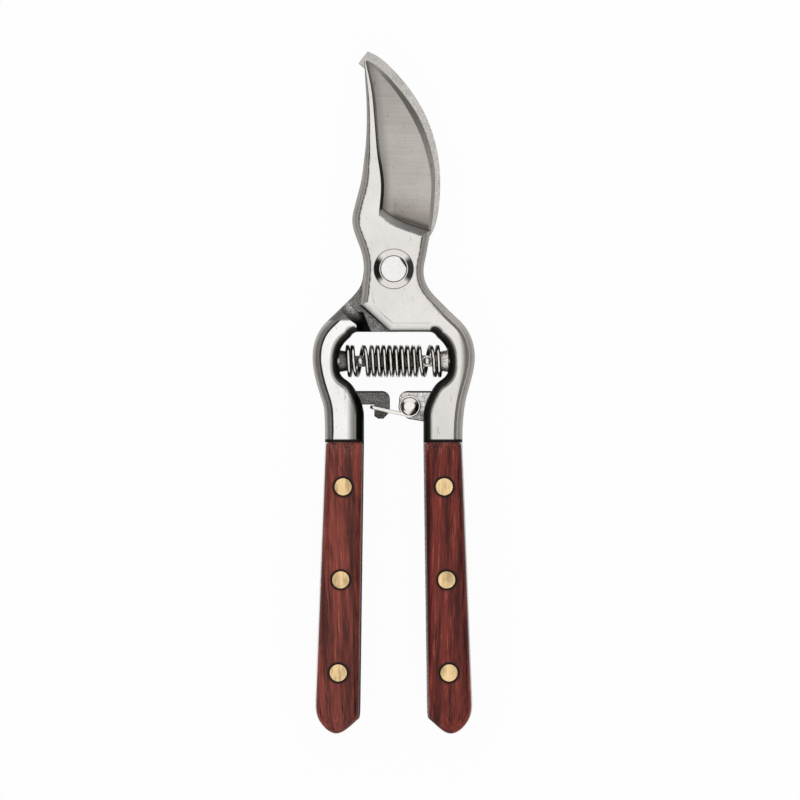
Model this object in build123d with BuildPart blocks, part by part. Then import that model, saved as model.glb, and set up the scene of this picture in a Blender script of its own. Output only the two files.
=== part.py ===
"""One-hand bypass pruner: two forged halves on a bolt, wooden scales, a coil spring and a wire catch.

The tool lies flat: +Y runs along it to the blade's tip, +X to its right and +Z to its front. The origin is on
the axis of the pivot bolt, at the level of the backs of the wooden scales. Lengths are in millimetres.
"""

import os
from math import acos, asin, atan2, cos, radians, sin, sqrt, tan

from build123d import *

# ---------------------------------------------------------------- driving sizes
# Thicknesses, all of them set about the middle plane of the tool.
scale_thickness = 6.0
tang_thickness = 4.0
shank_thickness = 10.0
lap_clearance = 0.05  # between the two necks, where they turn on each other
edge_rounding = 2.8  # forged rounding along the necks and shanks
hook_rounding = 2.0

# Plan of a forged half, its shank at +X.
neck_half_width = 9.35  # at the waist, level with the pivot
crotch_y = -19.6  # lower edge of the crossing necks
bulge_x = 25.4  # widest place of the shank
bulge_y = -27.5
bulge_inner_x = 17.2  # wall that carries the spring's peg
window_corner_x = 12.9  # where the window meets the lower edge of the neck
window_corner_radius = 2.6
neck_corner_x = 10.7  # far end of the diagonal under a neck
neck_corner_y = -11.2
neck_diagonal_x = 1.3  # where that diagonal leaves the lower edge
shank_end_y = -53.7  # where the wooden scales start
shank_outer_x = 21.5
shank_inner_x = 9.3
shank_straight = 7.5  # straight length of the shank's inner side, above the scales

# Handle: the tang, and the scales on both of its faces.
handle_length = 91.7
handle_outer_spread = 3.1  # how far the outer side moves out along the handle
handle_inner_spread = 1.1
handle_point_length = 10.5
scale_inset = 0.4  # the scales stand back from the tang's edge
scale_rounding = 2.5
scale_end_gap = 0.3
rivet_diameter = 5.3
rivet_sink_width = 0.2  # bevel around each rivet's hole
first_rivet_from_end = 14.3
rivet_spacing = 0.3163 * handle_length
rivets_per_handle = 3

# Pivot.
pivot_diameter = 8.0
pivot_clearance = 0.05  # on the radius
bolt_head_across_flats = 11.0
bolt_head_height = 2.4
washer_diameter = 12.0
washer_thickness = 0.6
collar_diameter = 12.2
collar_top_diameter = 8.9
collar_height = 1.3
bolt_end_proud = 0.35
bolt_flat_distance = 3.5  # from the axis to the flat on the bolt's end
bolt_flat_angle = 33.0
step_radius = 21.0  # wall of the recess that the other half's neck turns in
step_corner_x = 11.6
step_cove = 4.0
step_corner_radius = 1.0

# Blade and hook. Their outlines are laid out in shares of these lengths.
hook_tip_y = 68.3
hook_belly_x = 14.6  # widest place of the hook's back
blade_belly_x = 12.95  # widest place of the blade's edge
shoulder_y = 19.0  # top of the neck, where the blade's rib goes on alone
blade_tip_y = 65.4
bevel_angle = 22.0
grind_angle = 4.5
edge_land = 0.15
hollow_depth = 0.3
rib_tip_drop = 3.6

# Spring and its swivels.
spring_y = -28.75
swivel_pin_x = 10.47
spring_outer_diameter = 10.4
spring_wire = 1.5
spring_pitch = 2.12
spring_end_x = 15.5  # outer end of the spring
peg_width = 3.4
peg_height = 4.0
peg_base_radius = 3.5
peg_nose_radius = 3.1
peg_base_length = 2.6
finger_width = 3.6
finger_thickness = 1.9
finger_length = 8.0
finger_side_gap = 0.15
swivel_pin_diameter = 1.8
swivel_pin_clearance = 0.1
swivel_head_diameter = 2.6
swivel_head_height = 1.25
linkage_play = 0.35  # half length of the right finger's slot beyond its pin

# Catch.
lug_top_y = -38.1
lug_bottom_y = -47.7
lug_root_x = 13.5  # inside the shank
lug_edge_rounding = 0.3
lug_gap_half_left = 1.2
lug_gap_half_right = 1.66
nose_end_y = -46.8
catch_x = 5.0
catch_y = -42.9
catch_reach = 11.85
catch_bar_drop = 0.3
catch_wire_diameter = 1.25
catch_eye_radius = 2.9
catch_side_gap = 0.1
catch_bend = 1.0
catch_rivet_diameter = 4.2
catch_rivet_head = 5.9
catch_rivet_dome = 1.4
catch_washer_thickness = 0.5
nose_clearance = 0.15
notch_clearance = 0.2

# ---------------------------------------------------------------- levels and places that follow
middle_z = scale_thickness + tang_thickness / 2
back_z = middle_z - shank_thickness / 2
front_z = middle_z + shank_thickness / 2
tang_back_z = middle_z - tang_thickness / 2
tang_front_z = middle_z + tang_thickness / 2
handle_end_y = shank_end_y - handle_length
handle_side_end_y = handle_end_y + handle_point_length
spring_mean_radius = (spring_outer_diameter - spring_wire) / 2
bolt_back_z = back_z - washer_thickness - bolt_head_height
collar_seat_z = front_z + lap_clearance
bolt_end_z = collar_seat_z + collar_height + bolt_end_proud


def sided(points, side):
    """Mirrors plan points for the half whose shank is at -X."""
    return [(side * x, y) for x, y in points]


def between(start, end, share):
    """Value at that share of the way from start to end."""
    return start + share * (end - start)


def face_edges(plate, thickness):
    """Edges that lie on the front and back faces of a plate set about the middle plane."""
    return [edge for edge in plate.edges() if abs(abs(edge.center().Z - middle_z) - thickness / 2) < 0.01]


def shank_outer(side, neck_points, neck_tangent):
    """Outer side of neck and shank, from the top of the neck down to the scales."""
    return Spline(
        *sided(
            [
                *neck_points,
                (neck_half_width, 0),
                (1.09 * neck_half_width, 0.17 * bulge_y),
                (between(neck_half_width, bulge_x, 0.333), 0.375 * bulge_y),
                (between(neck_half_width, bulge_x, 0.57), 0.512 * bulge_y),
                (between(neck_half_width, bulge_x, 0.805), 0.65 * bulge_y),
                (bulge_x, bulge_y),
                (between(bulge_x, shank_outer_x, 0.69), between(bulge_y, shank_end_y, 0.488)),
                (shank_outer_x, shank_end_y),
            ],
            side,
        ),
        tangents=sided([neck_tangent, (0, -1)], side),
    )


def shank_inner(side):
    """Inner side of the shank, from the scales up to the window's corner under the necks."""
    straight_end_y = shank_end_y + shank_straight
    Line(*sided([(shank_inner_x, shank_end_y), (shank_inner_x, straight_end_y)], side))
    return Spline(
        *sided(
            [
                (shank_inner_x, straight_end_y),
                (between(shank_inner_x, bulge_inner_x, 0.27), between(straight_end_y, spring_y, 0.42)),
                (between(shank_inner_x, bulge_inner_x, 0.58), between(straight_end_y, spring_y, 0.62)),
                (bulge_inner_x - 0.9, spring_y - 0.9 * spring_outer_diameter / 2),
                (bulge_inner_x, spring_y),
                (bulge_inner_x - 0.85, spring_y + 0.85 * spring_outer_diameter / 2),
                (between(window_corner_x, bulge_inner_x, 0.36), between(crotch_y, spring_y, 0.26)),
                (window_corner_x, crotch_y),
            ],
            side,
        ),
        tangents=sided([(0, 1), (-0.2, 1)], side),
    )


def neck_bottom(side):
    """Lower edge of a neck: along the window, then up the diagonal to the far side's corner."""
    corners = [(window_corner_x, crotch_y), (-neck_diagonal_x, crotch_y), (-neck_corner_x, neck_corner_y)]
    return Polyline(*sided(corners, side))


def blade_outline():
    """Blade half: bulge and waist at the left, shoulder at the top, heel at the right."""
    heel = (1.25 * neck_half_width, 0.64 * shoulder_y)
    rib_foot = (-0.365 * neck_half_width, shoulder_y)
    spine_top = (-1.32 * neck_half_width, shoulder_y)
    shank_outer(1, [heel, (1.08 * neck_half_width, 0.22 * shoulder_y)], (-0.3, -1))
    Spline(
        heel,
        (0.64 * neck_half_width, 0.73 * shoulder_y),
        (0.1 * neck_half_width, 0.84 * shoulder_y),
        rib_foot,
    )
    Line(rib_foot, spine_top)
    Spline(
        spine_top,
        (-1.38 * neck_half_width, 0.75 * shoulder_y),
        (-1.135 * neck_half_width, 0.37 * shoulder_y),
        (-neck_half_width, 0),
        (-1.05 * neck_half_width, 0.5 * neck_corner_y),
        (-neck_corner_x, neck_corner_y),
        tangents=[(-0.35, -1), (-0.25, -1)],
    )


def hook_neck_outline():
    """Neck of the hook half: its waist on both sides, closed across the boss over the pivot."""
    boss_y = 1.6 * pivot_diameter / 2
    left = (-0.79 * neck_half_width, boss_y)
    right = (1.11 * neck_half_width, boss_y)
    shank_outer(-1, [(-left[0], boss_y)], (0.6, -1))
    Line(left, right)
    Spline(right, (neck_half_width, 0), (neck_corner_x, neck_corner_y), tangents=[(-0.3, -1), (0.25, -1)])


def hook_outline():
    """The hook: from the boss over the throat, up the inner edge to the square tip, and down its back."""

    def at(across, up):
        return (across * hook_belly_x, up * hook_tip_y)

    throat = at(-0.438, 0.088)
    inner_foot = at(0.274, 0.161)
    tip_inner = at(-0.753, 0.947)
    tip_outer = at(-0.562, 1)
    Polyline((neck_half_width, 0), (0, 0), throat)
    Spline(throat, at(-0.137, 0.1435), inner_foot, tangents=[(0.8, 1), (1, 0)])
    Spline(
        inner_foot,
        at(0.452, 0.278),
        at(0.486, 0.41),
        at(0.37, 0.556),
        tip_inner,
        tangents=[(0.6, 1), (-1, 0.85)],
    )
    Line(tip_inner, tip_outer)
    Spline(
        tip_outer,
        at(-0.027, 0.9195),
        at(0.637, 0.7277),
        at(0.911, 0.565),
        at(1, 0.398),
        at(0.849, 0.1786),
        (neck_half_width, 0),
        tangents=[(1, -0.35), (0, -1)],
    )


def neck_recess(side):
    """What is cut from a half so that the other half's neck can turn in it: its foot is a cove."""
    lap_z = middle_z + side * lap_clearance / 2
    corner = (side * step_corner_x, -sqrt(step_radius**2 - step_corner_x**2), lap_z)
    far_side_x = side * (step_corner_x - 2 * step_radius)
    with BuildPart() as recess:
        with BuildSketch(Plane((0, 0, lap_z))):
            Circle(step_radius)
            with Locations(((corner[0] + far_side_x) / 2, step_radius)):
                Rectangle(2 * step_radius, 5 * step_radius)
        extrude(amount=shank_thickness, dir=(0, 0, -side))
        wall_corner = recess.edges().filter_by(Axis.Z).sort_by_distance(corner)[0]
        fillet(wall_corner, step_corner_radius)
        foot = recess.edges().filter_by_position(Axis.Z, lap_z - 0.01, lap_z + 0.01)
        fillet([edge for edge in foot if edge.center().X * side > -step_radius], step_cove)
    return recess.part


def forged_blank(side, upper_outline):
    """A half as it leaves the die: the full outline, rounded in front and behind, relieved at the neck."""
    with BuildPart() as blank:
        with BuildSketch(Plane.XY.offset(back_z)):
            with BuildLine():
                upper_outline()
                Line(*sided([(shank_outer_x, shank_end_y), (shank_inner_x, shank_end_y)], side))
                shank_inner(side)
                neck_bottom(side)
            make_face()
        extrude(amount=shank_thickness)
        upright = blank.edges().filter_by(Axis.Z)
        window_corner = upright.sort_by_distance((side * window_corner_x, crotch_y, middle_z))[0]
        fillet(window_corner, window_corner_radius)
        rims = face_edges(blank, shank_thickness)
        fillet([rim for rim in rims if rim.center().Y > shank_end_y + 0.1], edge_rounding)
        add(neck_recess(side), mode=Mode.SUBTRACT)
    return blank.part


def eye_lug():
    """Right catch plate, on the same middle layer as the tang: it carries the catch's rivet."""
    corners = [
        (lug_root_x, lug_top_y),
        (lug_gap_half_right, lug_top_y),
        (lug_gap_half_right, catch_y - 1),
        (catch_x - 0.8, catch_y - 3.9),
        (catch_x + 4.6, lug_bottom_y),
        (lug_root_x, lug_bottom_y),
    ]
    with BuildPart() as plate:
        with BuildSketch(Plane.XY.offset(tang_back_z)):
            with BuildLine():
                FilletPolyline(*corners, radius=[0.8, 2.7, 2.4, 2.4, 1.5, 0.8], close=True)
            make_face()
        extrude(amount=tang_thickness)
        fillet(face_edges(plate, tang_thickness), lug_edge_rounding)
    return plate.part


def handle_plan(side, inset, start_y):
    """Plan of a handle: two slowly opening sides, closed by a blunt ogive."""
    outer_x = shank_outer_x + handle_outer_spread
    inner_x = shank_inner_x + handle_inner_spread
    axis_x = (outer_x + inner_x) / 2
    half_width = (outer_x - inner_x) / 2 - inset
    shoulder_y = handle_side_end_y - 0.6 * handle_point_length
    end_y = handle_end_y + inset
    Line(*sided([(shank_outer_x - inset, start_y), (axis_x + half_width, handle_side_end_y)], side))
    Spline(
        *sided(
            [
                (axis_x + half_width, handle_side_end_y),
                (axis_x + 0.83 * half_width, shoulder_y),
                (axis_x, end_y),
                (axis_x - 0.83 * half_width, shoulder_y),
                (axis_x - half_width, handle_side_end_y),
            ],
            side,
        ),
        tangents=sided([(0.04, -1), (-0.01, 1)], side),
    )
    Polyline(
        *sided(
            [
                (axis_x - half_width, handle_side_end_y),
                (shank_inner_x + inset, start_y),
                (shank_outer_x - inset, start_y),
            ],
            side,
        )
    )


def tang(side):
    """Flat tang, let a little way into the shank."""
    with BuildPart() as plate:
        with BuildSketch(Plane.XY.offset(tang_back_z)):
            with BuildLine():
                handle_plan(side, 0, shank_end_y)
            make_face()
            with Locations((side * (shank_outer_x + shank_inner_x) / 2, shank_end_y)):
                Rectangle(shank_outer_x - shank_inner_x - 1, 4)
        extrude(amount=tang_thickness)
    return plate.part


def spring_peg(side):
    """Peg inside the window that carries one end of the spring and forks round its swivel finger."""
    with BuildPart() as peg:
        with BuildSketch(Plane.XY.offset(middle_z - peg_height / 2)):
            with Locations((side * swivel_pin_x, spring_y)):
                Circle(peg_width / 2)
            with Locations((side * (swivel_pin_x + bulge_inner_x + 1) / 2, spring_y)):
                Rectangle(bulge_inner_x + 1 - swivel_pin_x, peg_width)
        extrude(amount=peg_height)
        base_length = peg_base_length + 1
        with Locations((side * (bulge_inner_x + 1 - base_length / 2), spring_y, middle_z)):
            Cone(
                peg_base_radius + (peg_base_radius - peg_nose_radius) / peg_base_length,
                peg_nose_radius,
                base_length,
                rotation=(0, -90 * side, 0),
            )
        fork_depth = finger_width / 2 + 0.6
        fork_length = peg_width / 2 + fork_depth + 1
        with Locations((side * (swivel_pin_x + fork_depth - fork_length / 2), spring_y, middle_z)):
            Box(fork_length, finger_width * 2, finger_thickness + 2 * finger_side_gap, mode=Mode.SUBTRACT)
        with Locations((side * swivel_pin_x, spring_y, middle_z)):
            Cylinder(swivel_pin_diameter / 2, peg_height * 2, mode=Mode.SUBTRACT)
    return peg.part


def blade_section(row):
    """One cross-section of the blade: flat back, keen edge, bevel, hollow face, rib."""
    rise, *across = row
    y = between(shoulder_y, blade_tip_y, rise)
    spine_x, rib_x, bevel_x, edge_x = (share * blade_belly_x for share in across)
    back = middle_z + lap_clearance / 2
    top = front_z - rib_tip_drop * max(0, rise) ** 1.5
    bevel_z = back + edge_land + tan(radians(bevel_angle)) * (edge_x - bevel_x)
    cove = min(1.0, 0.35 * (bevel_x - rib_x))
    foot_x = rib_x + cove
    foot_z = bevel_z + tan(radians(grind_angle)) * (bevel_x - foot_x)
    rounding = min(edge_rounding, 0.45 * (rib_x - spine_x))
    sag = hollow_depth * ((bevel_x - foot_x) / 16) ** 2
    with BuildSketch(Plane((0, y, 0), x_dir=(1, 0, 0), z_dir=(0, -1, 0))) as section:
        with BuildLine():
            Polyline((spine_x, back), (edge_x, back), (edge_x, back + edge_land), (bevel_x, bevel_z))
            ThreePointArc(
                (bevel_x, bevel_z),
                ((bevel_x + foot_x) / 2, (bevel_z + foot_z) / 2 - sag),
                (foot_x, foot_z),
            )
            ThreePointArc(
                (foot_x, foot_z),
                (rib_x + 0.25 * cove, foot_z + 0.3 * (top - foot_z)),
                (rib_x, top),
            )
            Line((rib_x, top), (spine_x + rounding, top))
            ThreePointArc(
                (spine_x + rounding, top),
                (spine_x + rounding * (1 - sqrt(0.5)), top - rounding * (1 - sqrt(0.5))),
                (spine_x, top - rounding),
            )
            Line((spine_x, top - rounding), (spine_x, back))
        make_face()
    return section.sketch


def blade():
    """The blade, from inside the neck to its tip.

    Each row is a share of the way from shoulder to tip, then spine, rib's inner foot, bevel's inner line and
    edge in shares of the belly's width.
    """
    rows = [
        (-0.216, -0.788, -0.355, 0.741, 0.826),
        (-0.129, -0.942, -0.355, 0.842, 0.907),
        (0, -0.954, -0.347, 0.88, 0.969),
        (0.129, -0.834, -0.309, 0.911, 1),
        (0.259, -0.745, -0.344, 0.876, 0.992),
        (0.409, -0.683, -0.417, 0.749, 0.888),
        (0.56, -0.653, -0.459, 0.541, 0.703),
        (0.711, -0.656, -0.502, 0.239, 0.398),
        (0.841, -0.683, -0.564, -0.097, 0.035),
        (0.938, -0.703, -0.641, -0.425, -0.297),
        (1, -0.703, -0.68, -0.672, -0.633),
    ]
    with BuildPart() as blank:
        loft([blade_section(row) for row in rows])
    return blank.part


def hook():
    """The hook, its face on the lap plane and its back rounded like the rest of the forging."""
    with BuildPart() as blank:
        with BuildSketch(Plane.XY.offset(back_z)):
            with BuildLine():
                hook_outline()
            make_face()
        extrude(amount=(shank_thickness - lap_clearance) / 2)
        back_rims = [edge for edge in blank.edges() if abs(edge.center().Z - back_z) < 0.01]
        fillet(max(back_rims, key=lambda edge: edge.length), hook_rounding)
    return blank.part


def nose_lug():
    """Left catch plate: the cross-bar lies in the notch and has to spring over its down-turned nose."""
    bar_x = catch_x - sqrt(catch_reach**2 - catch_bar_drop**2)
    face_x = bar_x + catch_wire_diameter / 2 + nose_clearance
    notch_y = catch_y - catch_bar_drop + catch_wire_diameter / 2 + notch_clearance
    with BuildPart() as plate:
        with BuildSketch(Plane.XY.offset(tang_back_z)):
            Polygon(
                (face_x, notch_y),
                (face_x, nose_end_y + 0.8),
                (face_x + 1.2, nose_end_y),
                (-lug_gap_half_left - 2, nose_end_y),
                (-lug_gap_half_left, nose_end_y + 2.2),
                (-lug_gap_half_left, lug_top_y),
                (-lug_root_x, lug_top_y),
                (-lug_root_x, notch_y),
                align=None,
            )
        extrude(amount=tang_thickness)
        upright = plate.edges().filter_by(Axis.Z)
        fillet(upright.sort_by_distance((-lug_gap_half_left, lug_top_y, middle_z))[0], 2.5)
        fillet(face_edges(plate, tang_thickness), lug_edge_rounding)
    return plate.part


def rivet_places(side):
    """Centres of the three rivets of a handle, on its middle line."""
    places = []
    for number in range(rivets_per_handle):
        y = shank_end_y - first_rivet_from_end - number * rivet_spacing
        share = (shank_end_y - y) / (shank_end_y - handle_side_end_y)
        spread = share * (handle_outer_spread + handle_inner_spread)
        places.append((side * (shank_outer_x + shank_inner_x + spread) / 2, y))
    return places


def handle_scale(side, in_front):
    """Wooden scale on one face of a tang, drilled for the rivets."""
    facing = 1 if in_front else -1
    seat_z = tang_front_z if in_front else tang_back_z
    face_z = seat_z + facing * scale_thickness
    with BuildPart() as scale:
        with BuildSketch(Plane.XY.offset(seat_z)):
            with BuildLine():
                handle_plan(side, scale_inset, shank_end_y - scale_end_gap)
            make_face()
        extrude(amount=facing * scale_thickness)
        top_corners = scale.edges().filter_by(Axis.Z).group_by(Axis.Y)[-1]
        fillet(top_corners, 1.2)
        fillet([edge for edge in scale.edges() if abs(edge.center().Z - face_z) < 0.01], scale_rounding)
        with Locations(*[(x, y, middle_z) for x, y in rivet_places(side)]):
            Cylinder(rivet_diameter / 2, 4 * scale_thickness, mode=Mode.SUBTRACT)
        rivet_rims = scale.edges().filter_by(GeomType.CIRCLE).filter_by(
            lambda edge: abs(edge.center().Z - face_z) < 0.01 and abs(edge.radius - rivet_diameter / 2) < 0.01
        )
        chamfer(rivet_rims, rivet_sink_width)
    return scale.part


def domed_pin(place, shank_back, shank_front, shank_radius, head_radius, head_height):
    """Rivet along Z with a domed head at each end; the two lengths run from the middle plane to the heads."""
    x, y = place
    dome_radius = (head_radius**2 + head_height**2) / (2 * head_height)
    half_turn = asin(min(1.0, head_radius / dome_radius)) / 2
    dome_x = dome_radius * sin(half_turn)
    dome_rise = head_height - dome_radius * (1 - cos(half_turn))
    with BuildPart() as pin:
        with BuildSketch(Plane((x, y, middle_z), x_dir=(1, 0, 0), z_dir=(0, -1, 0))):
            with BuildLine():
                Line((0, -shank_back - head_height), (0, shank_front + head_height))
                ThreePointArc(
                    (0, shank_front + head_height),
                    (dome_x, shank_front + dome_rise),
                    (head_radius, shank_front),
                )
                Polyline(
                    (head_radius, shank_front),
                    (shank_radius, shank_front),
                    (shank_radius, -shank_back),
                    (head_radius, -shank_back),
                )
                ThreePointArc(
                    (head_radius, -shank_back),
                    (dome_x, -shank_back - dome_rise),
                    (0, -shank_back - head_height),
                )
            make_face()
        revolve(axis=Axis((x, y, 0), (0, 0, 1)))
    return pin.part


# ---------------------------------------------------------------- the two forged halves
with BuildPart() as blade_half_forging:
    add(forged_blank(1, blade_outline))
    add(blade())
    add(tang(1))
    add(eye_lug())
    add(spring_peg(1))
    with Locations(*[(x, y, middle_z) for x, y in rivet_places(1)]):
        Cylinder(rivet_diameter / 2, 2 * tang_thickness, mode=Mode.SUBTRACT)
    with Locations((0, 0, middle_z)):
        Cylinder(pivot_diameter / 2 + pivot_clearance, 4 * shank_thickness, mode=Mode.SUBTRACT)
    with Locations((catch_x, catch_y, middle_z)):
        Cylinder(catch_rivet_diameter / 2, 2 * tang_thickness, mode=Mode.SUBTRACT)

with BuildPart() as hook_half_forging:
    add(forged_blank(-1, hook_neck_outline))
    add(hook())
    add(tang(-1))
    add(nose_lug())
    add(spring_peg(-1))
    with Locations(*[(x, y, middle_z) for x, y in rivet_places(-1)]):
        Cylinder(rivet_diameter / 2, 2 * tang_thickness, mode=Mode.SUBTRACT)
    with Locations((0, 0, middle_z)):
        Cylinder(pivot_diameter / 2, 4 * shank_thickness, mode=Mode.SUBTRACT)

# ---------------------------------------------------------------- pivot
flat_plane = Plane(
    (0, 0, collar_seat_z),
    x_dir=(cos(radians(bolt_flat_angle)), sin(radians(bolt_flat_angle)), 0),
)

with BuildPart() as pivot_washer:
    with BuildSketch(Plane.XY.offset(back_z - washer_thickness)):
        Circle(washer_diameter / 2)
        Circle(pivot_diameter / 2, mode=Mode.SUBTRACT)
    extrude(amount=washer_thickness)

with BuildPart() as pivot_bolt:
    with BuildSketch(Plane.XY.offset(bolt_back_z)):
        RegularPolygon(bolt_head_across_flats / 2, 6, major_radius=False)
    extrude(amount=bolt_head_height)
    chamfer(pivot_bolt.edges().group_by(Axis.Z)[0], 0.4)
    with BuildSketch(Plane.XY.offset(bolt_back_z)):
        Circle(pivot_diameter / 2)
    extrude(amount=bolt_end_z - bolt_back_z)
    with BuildSketch(flat_plane):
        with Locations((bolt_flat_distance + pivot_diameter, 0)):
            Rectangle(2 * pivot_diameter, 2 * pivot_diameter)
    extrude(amount=bolt_end_z, mode=Mode.SUBTRACT)
    fillet(pivot_bolt.edges().group_by(Axis.Z)[-1], 0.3)

with BuildPart() as pivot_collar:
    with BuildSketch(Plane.XZ):
        with BuildLine():
            Polyline(
                (0, collar_seat_z),
                (collar_diameter / 2, collar_seat_z),
                (collar_diameter / 2, collar_seat_z + 0.2),
                (collar_top_diameter / 2, collar_seat_z + collar_height),
                (0, collar_seat_z + collar_height),
                close=True,
            )
        make_face()
    revolve(axis=Axis.Z)
    with BuildSketch(flat_plane):
        Circle(pivot_diameter / 2)
        with Locations((bolt_flat_distance + pivot_diameter, 0)):
            Rectangle(2 * pivot_diameter, 2 * pivot_diameter, mode=Mode.SUBTRACT)
    extrude(amount=2 * collar_height, mode=Mode.SUBTRACT)

# ---------------------------------------------------------------- spring and swivels
with BuildPart() as coil_spring:
    spring_half_length = spring_end_x - spring_wire / 2
    with BuildLine() as spring_path:
        Helix(
            spring_pitch,
            2 * spring_half_length,
            spring_mean_radius,
            center=(-spring_half_length, spring_y, middle_z),
            direction=(1, 0, 0),
        )
    with BuildSketch(spring_path.line ^ 0):
        Circle(spring_wire / 2)
    sweep(is_frenet=True)


def swivel_finger(side, play):
    """Flat finger inside the spring, turning on a pin in its peg's fork."""
    with BuildPart() as finger:
        pin_place = (side * swivel_pin_x, spring_y)
        tip_centre_x = side * (swivel_pin_x - finger_length + finger_width / 2)
        with BuildSketch(Plane.XY.offset(middle_z - finger_thickness / 2)):
            with Locations(((pin_place[0] + tip_centre_x) / 2, spring_y)):
                SlotCenterToCenter(abs(pin_place[0] - tip_centre_x), finger_width)
            with Locations(pin_place):
                hole_diameter = swivel_pin_diameter + 2 * swivel_pin_clearance
                if play:
                    SlotCenterToCenter(2 * play, hole_diameter, mode=Mode.SUBTRACT)
                else:
                    Circle(hole_diameter / 2, mode=Mode.SUBTRACT)
        extrude(amount=finger_thickness)
    return finger.part


# ---------------------------------------------------------------- catch
def catch_loop():
    """Wire bail: an eye on each face of the right lug, two legs, and the cross-bar that hooks the nose."""
    leg_z = tang_thickness / 2 + catch_side_gap + catch_wire_diameter / 2
    bar = (catch_x - sqrt(catch_reach**2 - catch_bar_drop**2), catch_y - catch_bar_drop)
    toward_bar = atan2(bar[1] - catch_y, bar[0] - catch_x)
    tangent_angle = toward_bar + acos(catch_eye_radius / catch_reach)
    foot = (
        catch_x + catch_eye_radius * cos(tangent_angle),
        catch_y + catch_eye_radius * sin(tangent_angle),
    )
    with BuildPart() as bail:
        with BuildLine() as route:
            FilletPolyline(
                (*foot, middle_z + leg_z),
                (*bar, middle_z + leg_z),
                (*bar, middle_z - leg_z),
                (*foot, middle_z - leg_z),
                radius=catch_bend,
            )
        with BuildSketch(route.line ^ 0):
            Circle(catch_wire_diameter / 2)
        sweep()
        with Locations((catch_x, catch_y, middle_z + leg_z), (catch_x, catch_y, middle_z - leg_z)):
            Torus(catch_eye_radius, catch_wire_diameter / 2)
    return bail.part


catch_stack = tang_thickness / 2 + catch_wire_diameter + 2 * catch_side_gap
catch_rivet = domed_pin(
    (catch_x, catch_y),
    catch_stack + catch_washer_thickness,
    catch_stack,
    catch_rivet_diameter / 2,
    catch_rivet_head / 2,
    catch_rivet_dome,
)

with BuildPart() as catch_washer:
    with BuildSketch(Plane.XY.offset(middle_z - catch_stack - catch_washer_thickness)):
        with Locations((catch_x, catch_y)):
            Circle(catch_rivet_head / 2 + 0.3)
            Circle(catch_rivet_diameter / 2, mode=Mode.SUBTRACT)
    extrude(amount=catch_washer_thickness)


def finish(piece, name):
    """Labels a piece and writes it."""
    piece.label = name
    export_step(piece, f"parts/{name}.step")


os.makedirs("parts", exist_ok=True)
finish(blade_half_forging.part, "blade_half_forging")
finish(hook_half_forging.part, "hook_half_forging")
finish(pivot_washer.part, "pivot_washer")
finish(pivot_bolt.part, "pivot_bolt")
finish(pivot_collar.part, "pivot_collar")
finish(coil_spring.part, "coil_spring")
finish(swivel_finger(-1, 0), "left_swivel_finger")
finish(swivel_finger(1, linkage_play), "right_swivel_finger")
finish(catch_loop(), "catch_wire")
finish(catch_rivet, "catch_rivet")
finish(catch_washer.part, "catch_washer")
for name, side in (("left", -1), ("right", 1)):
    finish(handle_scale(side, True), f"{name}_front_scale")
    finish(handle_scale(side, False), f"{name}_back_scale")
    pin = domed_pin(
        (side * swivel_pin_x, spring_y),
        peg_height / 2,
        peg_height / 2,
        swivel_pin_diameter / 2,
        swivel_head_diameter / 2,
        swivel_head_height,
    )
    finish(pin, f"{name}_swivel_pin")
    for number, (x, y) in enumerate(rivet_places(side), 1):
        with BuildPart() as handle_rivet:
            with Locations((x, y, middle_z)):
                Cylinder(rivet_diameter / 2, 2 * scale_thickness + tang_thickness)
        finish(handle_rivet.part, f"{name}_handle_rivet_{number}")
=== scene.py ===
"""Looks of a one-hand bypass pruner: forged steel halves, rosewood scales, coil spring and wire catch."""

import logging
import math
from dataclasses import dataclass, replace
from enum import Enum
from typing import Any

import bpy
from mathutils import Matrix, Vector


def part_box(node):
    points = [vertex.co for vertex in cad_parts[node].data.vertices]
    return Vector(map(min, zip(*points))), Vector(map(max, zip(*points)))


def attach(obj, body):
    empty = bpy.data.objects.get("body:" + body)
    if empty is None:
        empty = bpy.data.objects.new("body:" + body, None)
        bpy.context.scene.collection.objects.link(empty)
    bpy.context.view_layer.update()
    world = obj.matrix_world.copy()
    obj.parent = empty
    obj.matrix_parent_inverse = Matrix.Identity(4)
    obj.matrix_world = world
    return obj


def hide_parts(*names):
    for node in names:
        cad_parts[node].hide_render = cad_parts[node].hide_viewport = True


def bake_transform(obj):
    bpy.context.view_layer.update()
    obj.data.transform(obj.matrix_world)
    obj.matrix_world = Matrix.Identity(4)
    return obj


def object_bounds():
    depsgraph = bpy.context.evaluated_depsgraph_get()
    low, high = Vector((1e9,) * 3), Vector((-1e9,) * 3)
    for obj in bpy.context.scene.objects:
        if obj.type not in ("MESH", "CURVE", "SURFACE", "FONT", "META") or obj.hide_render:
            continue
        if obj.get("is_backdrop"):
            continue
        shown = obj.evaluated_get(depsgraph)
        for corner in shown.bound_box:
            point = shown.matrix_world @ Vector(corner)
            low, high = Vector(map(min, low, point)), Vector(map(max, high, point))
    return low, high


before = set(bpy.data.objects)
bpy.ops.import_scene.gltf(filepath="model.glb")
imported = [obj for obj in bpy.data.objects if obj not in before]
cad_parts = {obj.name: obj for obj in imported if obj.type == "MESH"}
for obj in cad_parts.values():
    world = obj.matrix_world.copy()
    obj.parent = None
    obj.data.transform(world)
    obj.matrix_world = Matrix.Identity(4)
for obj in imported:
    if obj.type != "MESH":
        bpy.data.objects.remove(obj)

log = logging.getLogger("pruner")

MM = 0.001
Point = tuple[float, float, float]
Colour = tuple[float, float, float, float]
Socket = bpy.types.NodeSocket


def grey(level: float, warmth: float = 0.0) -> Colour:
    """Returns a linear grey of that level, a little redder than blue by its warmth."""
    return (level * (1 + warmth), level, level * (1 - warmth), 1.0)


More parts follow.
